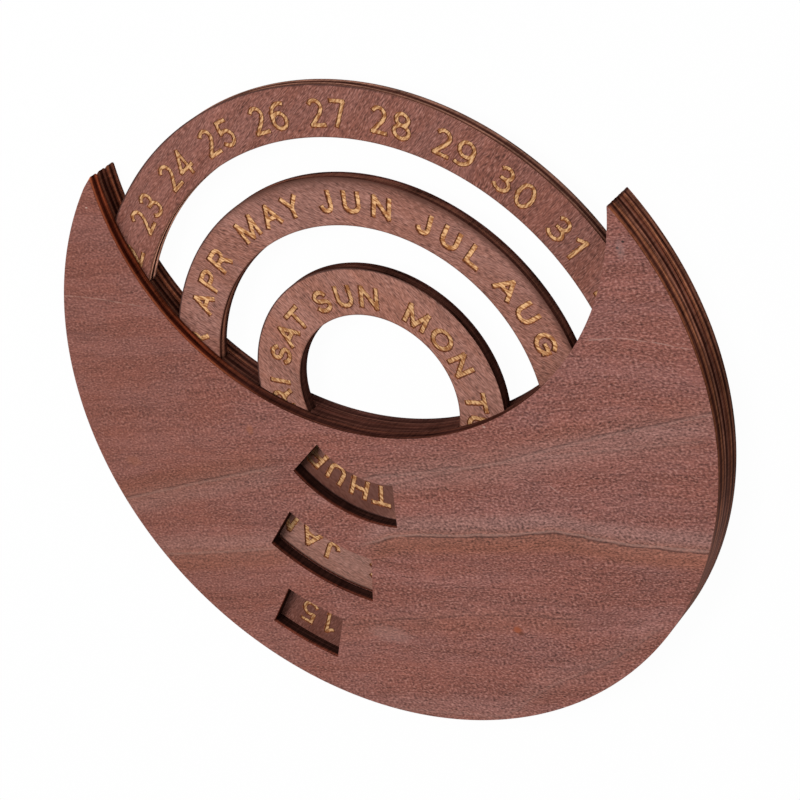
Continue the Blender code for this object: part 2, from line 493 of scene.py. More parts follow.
# %% Capital letters
letters = {
    "A": (0.94, [[(0, 0), (0.47, 1)], [(0.47, 1), (0.94, 0)], [(0.18, 0.34), (0.76, 0.34)]]),
    "B": (0.78, [stem(0), [(0, 1), (0.45, 1)] + bow(0.45, 0.765, 0.26, 0.235, 84, -90) + [(0, 0.53)],
                 [(0, 0.53), (0.49, 0.53)] + bow(0.49, 0.265, 0.29, 0.265, 84, -90) + [(0, 0)]]),
    "C": (0.88, [bow(0.47, 0.5, 0.47, 0.5, 38, 322)]),
    "D": (0.84, [stem(0), [(0, 1), (0.36, 1)] + bow(0.36, 0.5, 0.48, 0.5, 84, -90) + [(0, 0)]]),
    "E": (0.72, [stem(0), [(0, 1), (0.70, 1)], [(0, 0.52), (0.64, 0.52)], [(0, 0), (0.72, 0)]]),
    "F": (0.64, [stem(0), [(0, 1), (0.64, 1)], [(0, 0.50), (0.54, 0.50)]]),
    "G": (0.96, [bow(0.49, 0.5, 0.49, 0.5, 40, 318), [(0.90, 0.12), (0.93, 0.30), (0.93, 0.46)],
                 [(0.54, 0.46), (0.93, 0.46)]]),
    "H": (0.80, [stem(0), stem(0.80), [(0, 0.52), (0.80, 0.52)]]),
    "I": (0.0, [stem(0)]),
    "J": (0.54, [[(0.54, 1), (0.54, 0.30)] + bow(0.27, 0.28, 0.27, 0.28, -10, -165)]),
    "L": (0.64, [stem(0), [(0, 0), (0.64, 0)]]),
    "M": (1.04, [stem(0), stem(1.04), [(0, 1), (0.52, 0.02)], [(0.52, 0.02), (1.04, 1)]]),
    "N": (0.85, [stem(0), stem(0.85), [(0, 1), (0.85, 0)]]),
    "O": (0.99, oval(0.495, 0.5, 0.495, 0.5)),
    "P": (0.72, [stem(0), [(0, 1), (0.45, 1)] + bow(0.45, 0.735, 0.28, 0.265, 84, -90) + [(0, 0.47)]]),
    "R": (0.84, [[(0, 0), (0, 1.05)],
                 [(0, 1.05), (0.47, 1.05)] + bow(0.47, 0.77, 0.28, 0.28, 84, -90) + [(0, 0.49)],
                 [(0.42, 0.49), (0.60, 0.38), (0.84, 0)]]),
    "S": (0.74, [bow(0.37, 0.755, 0.32, 0.245, 18, 262) + [(0.38, 0.505)]
                 + bow(0.37, 0.25, 0.37, 0.25, 82, -162)]),
    "T": (0.70, [[(-0.11, 1), (0.81, 1)], stem(0.35)]),
    "U": (0.78, [[(0, 1), (0, 0.38)] + bow(0.39, 0.37, 0.39, 0.37, 184, 356) + [(0.78, 0.38), (0.78, 1)]]),
    "V": (0.92, [[(0, 1), (0.46, 0)], [(0.46, 0), (0.92, 1)]]),
    "W": (1.35, [[(0, 1), (0.34, 0)], [(0.34, 0), (0.675, 1)], [(0.675, 1), (1.01, 0)],
                 [(1.01, 0), (1.35, 1)]]),
    "Y": (0.82, [[(0, 1), (0.41, 0.45)], [(0.82, 1), (0.41, 0.45)], [(0.41, 0), (0.41, 0.47)]]),
}
print(len(letters), "letters")

# %% Digits
digits = {
    "0": (0.60, oval(0.30, 0.5, 0.30, 0.5)),
    "1": (0.58, [[(0.05, 0.80), (0.33, 0.985)], stem(0.33)]),
    "2": (0.56, [bow(0.27, 0.735, 0.26, 0.265, 146, -22) + [(0.42, 0.46), (0.20, 0.22), (0.02, 0.01)],
                 [(0.0, 0.0), (0.57, 0.0)]]),
    "3": (0.54, [bow(0.24, 0.755, 0.25, 0.245, 140, -80), [(0.14, 0.515), (0.29, 0.515)],
                 bow(0.24, 0.26, 0.30, 0.26, 78, -145)]),
    "4": (0.70, [[(0.50, 1), (0, 0.27)], [(0, 0.27), (0.70, 0.27)], stem(0.50)]),
    "5": (0.56, [[(0.08, 1), (0.50, 1)], [(0.08, 1), (0.05, 0.55)],
                 [(0.05, 0.56)] + bow(0.25, 0.31, 0.30, 0.30, 105, -140)]),
    "6": (0.62, [bow(0.47, 0.47, 0.46, 0.53, 72, 184)] + oval(0.31, 0.31, 0.30, 0.31)),
    "7": (0.56, [[(0, 1), (0.56, 1)], [(0.55, 0.99), (0.17, 0)]]),
    "8": (0.62, oval(0.31, 0.765, 0.25, 0.235) + oval(0.31, 0.265, 0.31, 0.265)),
    "9": (0.62, [bow(0.15, 0.53, 0.46, 0.53, -108, 4)] + oval(0.31, 0.69, 0.30, 0.31)),
}
print(len(digits), "digits")

# %% [markdown]
# ## Setting the words round a ring
#
# Each word has the direction of its middle, in degrees from the right, and the words run clockwise
# with their tops outwards. Within a word the middle lines of two neighbours keep one gap, less what
# an open or slanting letter saves. Each letter stays rigid and square to its own radius.

# %% Place the words
tighter = {"A": 0.15, "T": 0.12, "Y": 0.11, "V": 0.13, "W": 0.10, "L": 0.06, "P": 0.08, "R": 0.06, "J": 0.02}


def set_word(word, direction, foot_radius, height, gap, glyphs, cell=None):
    """The strokes of a word as lists of points in millimetres about the ring's centre."""
    reach = foot_radius + height / 2
    places = []
    pen = 0.0
    for letter in word:
        width = glyphs[letter][0] * height
        save = tighter.get(letter, 0.0) * height
        if cell:
            places.append(pen + cell / 2)
            pen += cell
        else:
            places.append(pen - save + width / 2)
            pen += width + gap - 2 * save
    middle = (pen - (0.0 if cell else gap)) / 2
    strokes = []
    for letter, place in zip(word, places):
        width, lines = glyphs[letter]
        angle = math.radians(direction) - (place - middle) / reach
        outward = Vector((math.cos(angle), math.sin(angle)))
        onward = Vector((math.sin(angle), -math.cos(angle)))
        for line in lines:
            strokes.append([
                outward * (foot_radius + up * height) + onward * (right - width / 2) * height
                for right, up in line
            ])
    return strokes


# %% [markdown]
# ## Cutting the marks into a ring
#
# A stroke becomes two ribbons, a wide one where it breaks the surface and a narrower one on its
# floor. The heat browned the skin on both sides of it, and the air jet blew smoke to one side, so
# there are two more: a wider one, and one that is shifted with the smoke. All ribbons of a ring and
# its two circles go into one constrained Delaunay triangulation, which splits the face wherever two
# outlines cross and says which outlines each triangle lies in. That sorts the triangles. A point
# drops to the floor unless some triangle at the level of the face touches it. The laser's edge isn't
# clean, so the ribbons waver a little.

# %% Ribbons along the strokes
ribbon_step = 0.27


def evenly_spaced(points, step):
    spaced = [points[0]]
    for start, end in zip(points, points[1:]):
        parts = max(1, math.ceil((end - start).length / step))
        spaced += [start.lerp(end, part / parts) for part in range(1, parts + 1)]
    return spaced


def ribbon(points, half_width, overrun, waver, chance):
    """The outline of a stroke, as wide as twice half_width and a little longer than its line."""
    first = (points[0] - points[1]).normalized() * overrun
    last = (points[-1] - points[-2]).normalized() * overrun
    line = evenly_spaced([points[0] + first] + points[1:-1] + [points[-1] + last], ribbon_step)
    left, right = [], []
    for number, point in enumerate(line):
        before = line[max(number - 1, 0)]
        after = line[min(number + 1, len(line) - 1)]
        side = (after - before).normalized().orthogonal()
        left.append(point + side * (half_width + chance.uniform(-waver, waver)))
        right.append(point - side * (half_width + chance.uniform(-waver, waver)))
    return right + left[::-1]


def round_outline(radius):
    angles = [math.tau * step / circle_steps for step in range(circle_steps)]
    return [Vector((math.cos(angle), math.sin(angle))) * radius for angle in angles]


# %% Triangulate the marked face
ring_thickness = 2.8
stroke_slope = 0.10
overrun_share = 0.42
join_distance = 0.0005
ribbon_kinds = ("side", "floor", "smoked", "browned")
kinds_by_rank = ("floor", "side", "smoked", "browned")
sunken_kinds = ("floor", "side")
slot_of = {"face": 0, "smoked": 3, "browned": 1, "side": 1, "floor": 2}


def marked_face(name, ring, strokes, width, depth, heat, smoke, finishes, seed):
    """The upper face of a ring with its marks cut in. Lengths are in millimetres."""
    chance = random.Random(seed)
    half_width, overrun = width / 2, width * overrun_share
    outlines = [round_outline(radius) for radius in ring_radii[ring]]
    nowhere = (0.0, 0.0)
    for shift, wider, waver in (
        (nowhere, 0.0, 0.07), (nowhere, -stroke_slope, 0.045), (smoke, 0.0, 0.09), (nowhere, heat, 0.11),
    ):
        for line in strokes:
            shifted = [point + Vector(shift) for point in line]
            outlines.append(ribbon(shifted, half_width + wider, overrun + wider, waver, chance))
    points, faces = [], []
    for outline in outlines:
        faces.append(list(range(len(points), len(points) + len(outline))))
        points += outline
    points, _, triangles, _, _, owners = geometry.delaunay_2d_cdt(points, [], faces, 1, join_distance)

    parts = []
    for triangle, owner in zip(triangles, owners):
        if 0 in owner and 1 not in owner:
            within = {ribbon_kinds[(number - 2) // len(strokes)] for number in owner if number > 1}
            parts.append((triangle, next((kind for kind in kinds_by_rank if kind in within), "face")))
    on_face = {corner for triangle, kind in parts if kind not in sunken_kinds for corner in triangle}

    mesh = bmesh.new()
    corners = {}
    for triangle, kind in parts:
        for corner in triangle:
            if corner not in corners:
                z = ring_thickness if corner in on_face else ring_thickness - depth
                corners[corner] = mesh.verts.new((points[corner].x, points[corner].y, z))
        made = mesh.faces.new([corners[corner] for corner in triangle])
        made.material_index = slot_of[kind]
    for vert in mesh.verts:
        vert.co = (vert.co + Vector((0.0, disc_rise, 0.0))) * mm
    bmesh.ops.recalc_face_normals(mesh, faces=mesh.faces)
    if sum(face.normal.z * face.calc_area() for face in mesh.faces) < 0:
        bmesh.ops.reverse_faces(mesh, faces=mesh.faces)
    data = bpy.data.meshes.new(name)
    mesh.to_mesh(data)
    mesh.free()
    for material in finishes:
        data.materials.append(material)
    print(name, "has", len(strokes), "strokes and", len(data.polygons), "triangles")
    return bpy.data.objects.new(name, data)


# %% [markdown]
# ## Outlines of the sheets
#
# Everything flat here is an outline with holes. A crescent is a disc less a round bite, and the arcs
# of the middle sheet are bands cut off by the same bite. The outer outline runs against the clock and
# holes run with it, so that the wood always lies on the left of the line.

# %% Circles, bands and windows
tip_cut = 0.32


def arc(radius, start, end, centre=(0.0, 0.0)):
    """Points from one angle to another, in radians, about a centre."""
    steps = max(2, round(abs(end - start) * circle_steps / math.tau))
    angles = [start + (end - start) * step / steps for step in range(steps + 1)]
    return [Vector((centre[0] + radius * math.cos(a), centre[1] + radius * math.sin(a))) for a in angles]


def bite_crossing(radius):
    """Where a circle about the disc's centre meets the bite: its angle there and the bite's own."""
    rise = (radius**2 + bite_rise**2 - bite_radius**2) / (2 * bite_rise)
    angle = math.asin(rise / radius)
    return angle, math.atan2(rise - bite_rise, radius * math.cos(angle))


def bite_edge(start, end):
    return arc(bite_radius, start, end, (0.0, bite_rise))


def blunt(outline, tips, cut):
    """The outline with the corners at these numbers rounded off, a short way along each side."""
    rounded = []
    for number, corner in enumerate(outline):
        if number not in tips:
            rounded.append(corner)
            continue
        back = (outline[number - 1] - corner).normalized() * cut
        ahead = (outline[number + 1] - corner).normalized() * cut
        rounded += [corner + back * (1 - t) ** 2 + ahead * t**2 for t in (0.0, 0.2, 0.4, 0.6, 0.8, 1.0)]
    return rounded


def crescent(radius):
    angle, bite = bite_crossing(radius)
    rim = arc(radius, -math.pi - angle, angle)[:-1]
    return blunt(rim + bite_edge(bite, -math.pi - bite)[:-1], (0, len(rim)), tip_cut)


def band(bore_radius, radius):
    outer, outer_bite = bite_crossing(radius)
    inner, inner_bite = bite_crossing(bore_radius)
    rim = arc(radius, -math.pi - outer, outer)[:-1]
    return blunt(
        rim
        + bite_edge(outer_bite, inner_bite)[:-1]
        + arc(bore_radius, inner, -math.pi - inner)[:-1]
        + bite_edge(-math.pi - inner_bite, -math.pi - outer_bite)[:-1],
        (0, len(rim)),
        tip_cut,
    )


def window(bore_radius, radius, top_width, foot_width, top_shift=0.0, foot_shift=0.0):
    """A window with arcs at top and foot. The two shifts move its top and its foot to the left."""
    top = math.asin(top_width / 2 / bore_radius)
    foot = math.asin(foot_width / 2 / radius)
    top_middle = math.radians(window_line_deg) - top_shift / bore_radius
    foot_middle = math.radians(window_line_deg) - foot_shift / radius
    far_side = arc(radius, foot_middle + foot, foot_middle - foot)
    return far_side + arc(bore_radius, top_middle - top, top_middle + top)


# %% [markdown]
# ## A sheet cut from plywood, with Geometry Nodes
#
# All nine pieces of this object follow one rule: take an outline, fill it for the two faces, and
# sweep the plywood's edge along it for the wall. The core has shrunk a little where the laser burned
# it, and a fine groove marks each glue line. That is a good job for Geometry Nodes, because one tree
# with named inputs serves every piece. The swept profile is a straight line with many points, and
# each point moves sideways by what its height asks for. It also stores that height for the cut-edge
# finish. At the horns' tips, where hands rub, each sheet has lost its sharp upper and lower corner,
# and more of it on the left.

# %% Build the tree
lower_groove, core, upper_groove = (0.30, 0.36), (0.36, 0.64), (0.64, 0.70)
tip_angle = bite_crossing(disc_radius)[0]
tip_x = disc_radius * math.cos(tip_angle) * mm
tip_y = (disc_radius * math.sin(tip_angle) + disc_rise) * mm
wear_reach = 2.2 * mm
wear_power = 5.0
wear_ends_at_x = 70.0 * mm
merge_distance = 0.000002
tree_inputs = (
    ("Outline", "Geometry", None), ("Thickness", "Float", 0.003), ("Foot height", "Float", 0.0),
    ("Core recess", "Float", 0.00004), ("Glue groove", "Float", 0.00003), ("Levels", "Int", 25),
    ("Tip wear", "Float", 0.0), ("Marked face", "Object", None), ("Has marks", "Bool", False),
    ("Top", "Material", None), ("Foot", "Material", None), ("Edge", "Material", None),
)


def between(value, heights):
    """1 between two heights and 0 elsewhere."""
    return value.math("GREATER_THAN", heights[0]) * value.math("LESS_THAN", heights[1])


def plywood_tree():
    tree = bpy.data.node_groups.new("cut_from_plywood", "GeometryNodeTree")
    tree.is_modifier = True
    keys = {}
    for name, kind, value in tree_inputs:
        socket = tree.interface.new_socket(name, in_out="INPUT", socket_type="NodeSocket" + kind)
        keys[name] = socket.identifier
        if value is not None:
            socket.default_value = value
    tree.interface.new_socket("Sheet", in_out="OUTPUT", socket_type="NodeSocketGeometry")
    given = tree.nodes.new("NodeGroupInput")

    def asked(name):
        return Wire(tree, find_socket(given.outputs, name))

    def geo(kind, inputs=None, settings=None, output=0):
        return add_node(tree, "GeometryNode" + kind, settings, inputs, output)

    def vector(axis, length):
        return add_node(tree, "ShaderNodeCombineXYZ", inputs={axis: length})

    def part_of(place, axis):
        return add_node(tree, "ShaderNodeSeparateXYZ", inputs={0: place}, output=axis)

    rail = geo("SetCurveNormal", {"Curve": asked("Outline")}, {"mode": "Z_UP"})
    low = vector("Y", asked("Thickness") * -1.0)
    line = geo("CurvePrimitiveLine", {"Start": (0, 0, 0), "End": low}, {"mode": "POINTS"})
    line = geo("ResampleCurve", {"Curve": line, "Count": asked("Levels")})
    height = part_of(geo("InputPosition"), "Y") * -1.0 / asked("Thickness")
    recess = between(height, core) * asked("Core recess")
    grooves = between(height, lower_groove) + between(height, upper_groove)
    inward = vector("X", (recess + grooves * asked("Glue groove")) * -1.0)
    settings = {"data_type": "FLOAT", "domain": "POINT"}
    inputs = {"Geometry": line, "Name": "height_share", "Value": height}
    profile = geo("StoreNamedAttribute", inputs, settings)
    profile = geo("SetPosition", {"Geometry": profile, "Offset": inward})
    wall = geo("CurveToMesh", {"Curve": rail, "Profile Curve": profile})
    settings = {"data_type": "BOOLEAN", "domain": "FACE"}
    wall = geo("StoreNamedAttribute", {"Geometry": wall, "Name": "cut_edge", "Value": True}, settings)

    filled = geo("FillCurve", {"Curve": rail}, {"mode": "TRIANGLES"})
    foot = geo("FlipFaces", {"Mesh": filled})
    foot = geo("SetMaterial", {"Geometry": foot, "Material": asked("Foot")})
    top = geo("Transform", {"Geometry": filled, "Translation": vector("Z", asked("Thickness"))})
    top = geo("SetMaterial", {"Geometry": top, "Material": asked("Top")})
    marked = geo("ObjectInfo", {"Object": asked("Marked face")}, output="Geometry")
    inputs = {"Switch": asked("Has marks"), "False": top, "True": marked}
    top = geo("Switch", inputs, {"input_type": "GEOMETRY"})

    joined = tree.nodes.new("GeometryNodeJoinGeometry")
    for part in (foot, top, wall):
        tree.links.new(part.socket, joined.inputs[0])
    whole = Wire(tree, joined.outputs[0])
    whole = geo("MergeByDistance", {"Geometry": whole, "Distance": merge_distance})
    place = geo("InputPosition")
    sideways, up, rise = [part_of(place, axis) for axis in "XYZ"]
    aside = sideways.math("ABSOLUTE") - tip_x
    above = up - tip_y
    away = (aside * aside + above * above).math("SQRT")
    near = (1.0 - away / wear_reach).math("MAXIMUM", 0.0)
    off_middle = rise / asked("Thickness") * 2.0 - 1.0
    worn = near * off_middle.math("ABSOLUTE").math("POWER", wear_power) * asked("Tip wear")
    drop = vector("Y", worn * (sideways / wear_ends_at_x - 1.0))
    whole = geo("SetPosition", {"Geometry": whole, "Offset": drop})
    whole = geo("Transform", {"Geometry": whole, "Translation": vector("Z", asked("Foot height"))})
    whole = geo("RealizeInstances", {"Geometry": whole})
    edge = geo("InputNamedAttribute", {"Name": "cut_edge"}, {"data_type": "BOOLEAN"})
    whole = geo("SetMaterial", {"Geometry": whole, "Selection": edge, "Material": asked("Edge")})
    result = tree.nodes.new("NodeGroupOutput")
    tree.links.new(whole.socket, result.inputs[0])
    return tree, keys


plywood, plywood_keys = plywood_tree()
print("the tree has", len(plywood.nodes), "nodes and", len(plywood_keys), "inputs")

# %% [markdown]
# ## From outline to piece
#
# The outlines go into a curve object, the tree runs on it as a modifier, and the result is copied
# into a plain mesh. The inputs are set by the identifiers of their sockets before Blender evaluates
# the object for the first time. Normals are turned outwards at the end, on the closed mesh.

# %% Cut one piece
sharp_edge_deg = 28.0


def outline_curve(name, outlines):
    curve = bpy.data.curves.new(name, "CURVE")
    curve.dimensions = "3D"
    for points in outlines:
        spline = curve.splines.new("POLY")
        spline.points.add(len(points) - 1)
        for target, point in zip(spline.points, points):
            target.co = (point.x * mm, (point.y + disc_rise) * mm, 0.0, 1.0)
        spline.use_cyclic_u = True
    return into_scene(bpy.data.objects.new(name, curve))


def cut_piece(name, outlines, foot, thickness, finishes, marked=None, tip_wear=0.0):
    guide = outline_curve(name + "_outline", outlines)
    modifier = guide.modifiers.new("cut", "NODES")
    modifier.node_group = plywood
    top, under, edge = finishes
    wanted = {"Thickness": thickness * mm, "Foot height": foot * mm, "Has marks": marked is not None,
              "Tip wear": tip_wear * mm, "Top": top, "Foot": under, "Edge": edge}
    if marked is not None:
        wanted["Marked face"] = marked
    for key, value in wanted.items():
        modifier[plywood_keys[key]] = value
    graph = bpy.context.evaluated_depsgraph_get()
    shaped = guide.evaluated_get(graph)
    mesh = bpy.data.meshes.new_from_object(shaped, preserve_all_data_layers=True, depsgraph=graph)
    bpy.data.objects.remove(guide)
    if marked is not None:
        bpy.data.objects.remove(marked)
    mesh.name = name
    for slot in reversed(range(len(mesh.materials))):
        if mesh.materials[slot] is None:
            mesh.materials.pop(index=slot)
    closed = turn_outwards(mesh)
    mesh.shade_smooth()
    mesh.set_sharp_from_angle(angle=math.radians(sharp_edge_deg))
    piece = into_scene(bpy.data.objects.new(name, mesh))
    print(name, "has", len(mesh.polygons), "faces;", "closed" if closed else "NOT CLOSED")
    return piece


def turn_outwards(mesh):
    """Recalculates the normals, and says whether every edge has its two faces."""
    shell = bmesh.new()
    shell.from_mesh(mesh)
    bmesh.ops.recalc_face_normals(shell, faces=shell.faces)
    if shell.calc_volume(signed=True) < 0:
        bmesh.ops.reverse_faces(shell, faces=shell.faces)
    closed = all(len(edge.link_faces) == 2 for edge in shell.edges)
    shell.to_mesh(mesh)
    shell.free()
    return closed


# %% [markdown]
# ## The finishes of this calendar
#
# All veneers are the same stained wood. The front plate's own growth lines and its one small knot
# are placed where the eye would look for them. Each ring was cut with its grain another way, and the
# month ring is smoked along its outer edge, where the cut ran hot.

# %% Veneers
stain = (0.227, 0.083, 0.067, 1.0)
smoke_brown = (0.085, 0.031, 0.020, 1.0)


def face_marks(x, y, wood):
    """A small orange knot, rusty patches, dark specks and pinholes, and a rubbed pale patch."""
    paler = mix(fade(x, -disc_radius, 55.0), (0.95, 0.94, 0.88, 1.0), (1.06, 1.10, 1.10, 1.0))
    wood = mix(1.0, wood, paler, blend="MULTIPLY")
    blur = (noise(x / 0.7, y / 0.7, 3.0, 1.0) - 0.5) * 0.9
    for left, up, wide, high, strength, colour in (
        (25.6, -45.6, 1.05, 0.85, 0.90, (0.30, 0.075, 0.032, 1.0)),
        (26.3, -46.3, 0.60, 0.55, 0.75, (0.11, 0.032, 0.018, 1.0)),
        (-31.3, -5.2, 0.9, 1.2, 0.50, (0.33, 0.115, 0.06, 1.0)),
        (-64.0, -16.2, 2.2, 1.2, 0.30, (0.33, 0.115, 0.06, 1.0)),
        (-34.9, -18.1, 0.6, 0.45, 0.60, (0.09, 0.035, 0.03, 1.0)),
        (41.0, -52.7, 0.8, 0.45, 0.50, (0.09, 0.030, 0.024, 1.0)),
        (-69.7, 13.8, 3.6, 0.35, 0.50, (0.12, 0.045, 0.035, 1.0)),
        (61.0, 43.4, 0.30, 0.27, 0.98, (0.02, 0.010, 0.008, 1.0)),
        (59.8, 42.1, 0.33, 0.27, 0.95, (0.025, 0.012, 0.010, 1.0)),
        (-6.0, -51.5, 5.5, 2.0, 0.22, (0.42, 0.255, 0.225, 1.0)),
        (60.3, 41.7, 0.9, 2.0, 0.20, (0.36, 0.26, 0.25, 1.0)),
        (25.4, 1.4, 0.35, 0.22, 0.60, (0.55, 0.38, 0.32, 1.0)),
        (-61.1, 43.6, 0.35, 0.16, 0.75, (0.62, 0.42, 0.34, 1.0)),
    ):
        away = from_point(x, y, left, up, wide, high)
        wood = mix(fade(away + blur, 1.3, 0.5) * strength, wood, colour)
    return wood


def scorched_borders(x, y, wood, ring):
    """A thin brown line along both edges of a ring, where the cut singed the skin."""
    radius, bore_radius = ring_radii[ring]
    away = from_centre(x, y) + (noise(x / 2.5, y / 2.5, 6.0) - 0.5) * 0.4
    singed = fade(away, radius - 0.42, radius - 0.15) * fade(x, 30.0, 0.0) * 0.90
    wood = mix(singed, wood, (0.045, 0.017, 0.013, 1.0))
    singed = fade(away, bore_radius + 0.34, bore_radius + 0.05) * 0.60
    return mix(singed, wood, (0.11, 0.040, 0.024, 1.0))


def month_ring_marks(x, y, wood):
    """A bleached stretch by January, and smoke along the outer edge over the far side."""
    wood = scorched_borders(x, y, wood, "month")
    fibres = noise((x - y) / 3.0, (x + y) / 0.8, 5.0)
    away = from_point(x, y, -17.0, -36.0, 17.0, 10.0)
    wood = mix(fade(away + fibres, 1.9, 1.0) * 0.20, wood, (0.34, 0.205, 0.165, 1.0))
    radius = from_centre(x, y)
    patches = noise(x / 9.0, y / 9.0, 2.0)
    reach = fade(radius + patches * 1.2, 47.2, 48.6) * fade(y + x * 0.6, 10.0, 34.0)
    wood = mix(reach * 0.80, wood, smoke_brown)
    reach = fade(radius + patches * 2.0, 45.2, 48.6) * fade(y, 38.0, 50.0)
    return mix(reach * 0.40, wood, smoke_brown)


def darker_stretches(ring, stretches):
    """Stretches of a ring painted darker. Those by the windows are painted shade."""
    def marks(x, y, wood):
        for left, up, wide, high, strength in stretches:
            away = from_point(x, y, left, up, wide, high)
            wood = mix(fade(away, 1.6, 0.7) * strength, wood, (0.080, 0.024, 0.016, 1.0))
        return scorched_borders(x, y, wood, ring)
    return marks


# Each line: its points, the strengths of its dark line, its pale band and its rusty one, and its side
growth_lines = [
    ([(-2.8, -28.0), (-0.2, -27.1), (13.2, -25.2), (26.2, -23.3), (37.7, -21.3), (48.6, -21.8), (60.4, -21.7),
      (72, -21)], 0.70, 0.9, 1.0, 1),
    ([(-58.7, -39.3), (-44.8, -36.9), (-32.6, -34.5)], 0.25, 0.6, 0.7, 1),
    ([(-13.8, -16.3), (-8.6, -14.5), (11.2, -9.9), (29.0, -5.6), (40.6, -1.4), (51.9, 2.5), (63.8, 6.1),
      (74, 9.4)], 0.55, 0.5, 0.3, -1),
    ([(2.2, -14.4), (22.9, -8.1), (45.9, -2.6), (67.5, 2.0)], 0.30, 0.3, 0.2, 1),
    ([(-17.0, -51.0), (4.9, -45.6), (20.7, -42.7), (35.9, -41.1)], 0.40, 0.1, 0.4, 1),
    ([(-70.5, -26.8), (-67.5, -25.7), (-45.9, -18.9), (-32.2, -14.9)], 0.45, 0.6, 0.5, -1),
    ([(-5.7, -70.8), (6.8, -69.5), (19.1, -67.8), (29.7, -59.5), (44.6, -50.9), (54.4, -43.4)],
     0.25, 0.3, 0.2, 1),
]
hairlines = [
    ([(-72.3, 22.7), (-67.0, 22.8), (-61.8, 22.5), (-51.6, 21.6)], 0.55),
    ([(51.5, 22.6), (57.9, 23.5), (61.9, 23.35), (65.0, 23.25), (68.0, 22.9), (71.7, 22.5)], 0.55),
    ([(38.4, -10.5), (40.0, -11.8), (41.6, -13.1)], 0.70),
]
face_veneer = stained_veneer("stained_face", stain, 7.0, 1.0, growth_lines, hairlines, face_marks)
back_veneer = stained_veneer("stained_back", tint(stain, 0.98, 1.0, 1.0), 5.0, 41.0)
# The darker stretches by the date and the weekday window are painted shade.
date_marks = darker_stretches("date", [(-22.5, -52.5, 9.0, 7.0, 0.62), (50.0, 44.0, 14.0, 12.0, 0.14)])
weekday_marks = darker_stretches("weekday", [(-10.0, -17.5, 13.0, 7.0, 0.76), (-20.5, -10.5, 2.6, 2.6, 0.70)])
ring_stains = {
    "date": (tint(stain, 1.02, 1.06, 0.97), 57.0, date_marks),
    "month": (tint(stain, 1.27, 1.52, 1.41), 73.0, month_ring_marks),
    "weekday": (tint(stain, 1.36, 1.62, 1.46), 91.0, weekday_marks),
}
ring_veneers = {}
for ring, (colour, seed, marks) in ring_stains.items():
    ring_veneers[ring] = stained_veneer(
        "stained_" + ring + "_ring", colour, ring_grain_deg[ring], seed, marks=marks, fibre_mm=ring_fibre_mm
    )

# %% Cut edges
# Heights in the sheet, from foot to top, with the colour at each
front_plies = [
    (0.0, char), (0.045, plum), (0.145, rust), (0.23, ember), (0.295, rust), (0.38, plum), (0.465, char),
    (0.53, char), (0.64, plum), (0.75, dim_rust), (0.85, bright_rust), (0.93, rust), (1.0, rust),
]
middle_plies = [
    (0.0, char), (0.05, char), (0.20, dim_rust), (0.28, mauve), (0.35, mauve), (0.45, char), (0.535, soot),
    (0.65, char), (0.72, plum), (0.80, pale_mauve), (0.90, mauve), (0.985, char), (1.0, char),
]
back_plies = [
    (0.0, rust), (0.08, mauve), (0.17, mauve), (0.25, pale_mauve), (0.37, plum), (0.47, soot), (0.57, char),
    (0.655, mauve), (0.755, ember), (0.855, rust), (0.93, plum), (0.99, char), (1.0, char),
]
# The date ring's edge has two pale bands that carry a painted highlight.
date_ring_plies = [
    (0.0, mauve), (0.09, pale_ply_and_faint_highlight), (0.18, pale_ply_and_highlight), (0.28, pale_ply_and_highlight), (0.36, mauve), (0.42, soot),
    (0.52, soot), (0.60, plum), (0.68, pale_ply_and_highlight), (0.79, pale_ply_and_highlight), (0.85, pale_mauve), (0.92, plum),
    (1.0, rust),
]
month_ring_plies = [
    (0.0, char), (0.08, soot), (0.22, soot), (0.30, plum), (0.40, mauve), (0.52, pale_mauve),
    (0.61, pale_mauve), (0.68, mauve), (0.74, char), (0.82, soot), (0.88, soot), (0.95, plum), (1.0, mauve),
]
inner_ring_plies = [
    (0.0, plum), (0.08, char), (0.18, soot), (0.28, char), (0.38, plum), (0.48, mauve), (0.62, mauve),
    (0.70, plum), (0.78, char), (0.88, soot), (0.96, char), (1.0, plum),
]
weekday_ring_plies = inner_ring_plies[:-3] + [(0.84, soot), (0.90, plum), (1.0, ember)]
# Each sheet's two tints paint light and shade onto the bite's wall, at the left horn and away from it.
front_edge = cut_edge(
    "front_edge", front_plies, 1.0, (1.15, 0.74, 0.60, 1.0), (0.80, 0.70, 0.80, 1.0), 0.83, lip=0.75
)
middle_edge = cut_edge(
    "middle_edge", middle_plies, 5.0, (0.44, 0.41, 0.40, 1.0), (0.70, 0.66, 0.72, 1.0), 1.04
)
back_edge = cut_edge("back_edge", back_plies, 7.0, (0.75, 0.68, 0.66, 1.0), (0.58, 0.62, 0.80, 1.0))
ring_edges = {
    "date": cut_edge("date_ring_edge", date_ring_plies, 9.0, level=1.10),
    "month": cut_edge("month_ring_edge", month_ring_plies, 11.0, level=1.45),
    "weekday": cut_edge("weekday_ring_edge", weekday_ring_plies, 13.0, level=0.86),
}

# %% [markdown]
# ## The three rings
#
# The date ring reads 1 to 31 in thin figures, the month and the weekday ring have heavier capitals.
# Numbers of two figures take more room than the first nine. The dates and the weekdays were engraved
# a little off centre, so their circles are shifted.

# %% Date ring
ring_foot = 3.1


def ring_strokes(words, foot_radius, height, gap, glyphs, off_centre, cell=None):
    """The strokes of all words of a ring."""
    return [
        [point + Vector(off_centre) for point in stroke]
        for word, direction in words.items()
        for stroke in set_word(word, direction, foot_radius, height, gap, glyphs, cell)
    ]


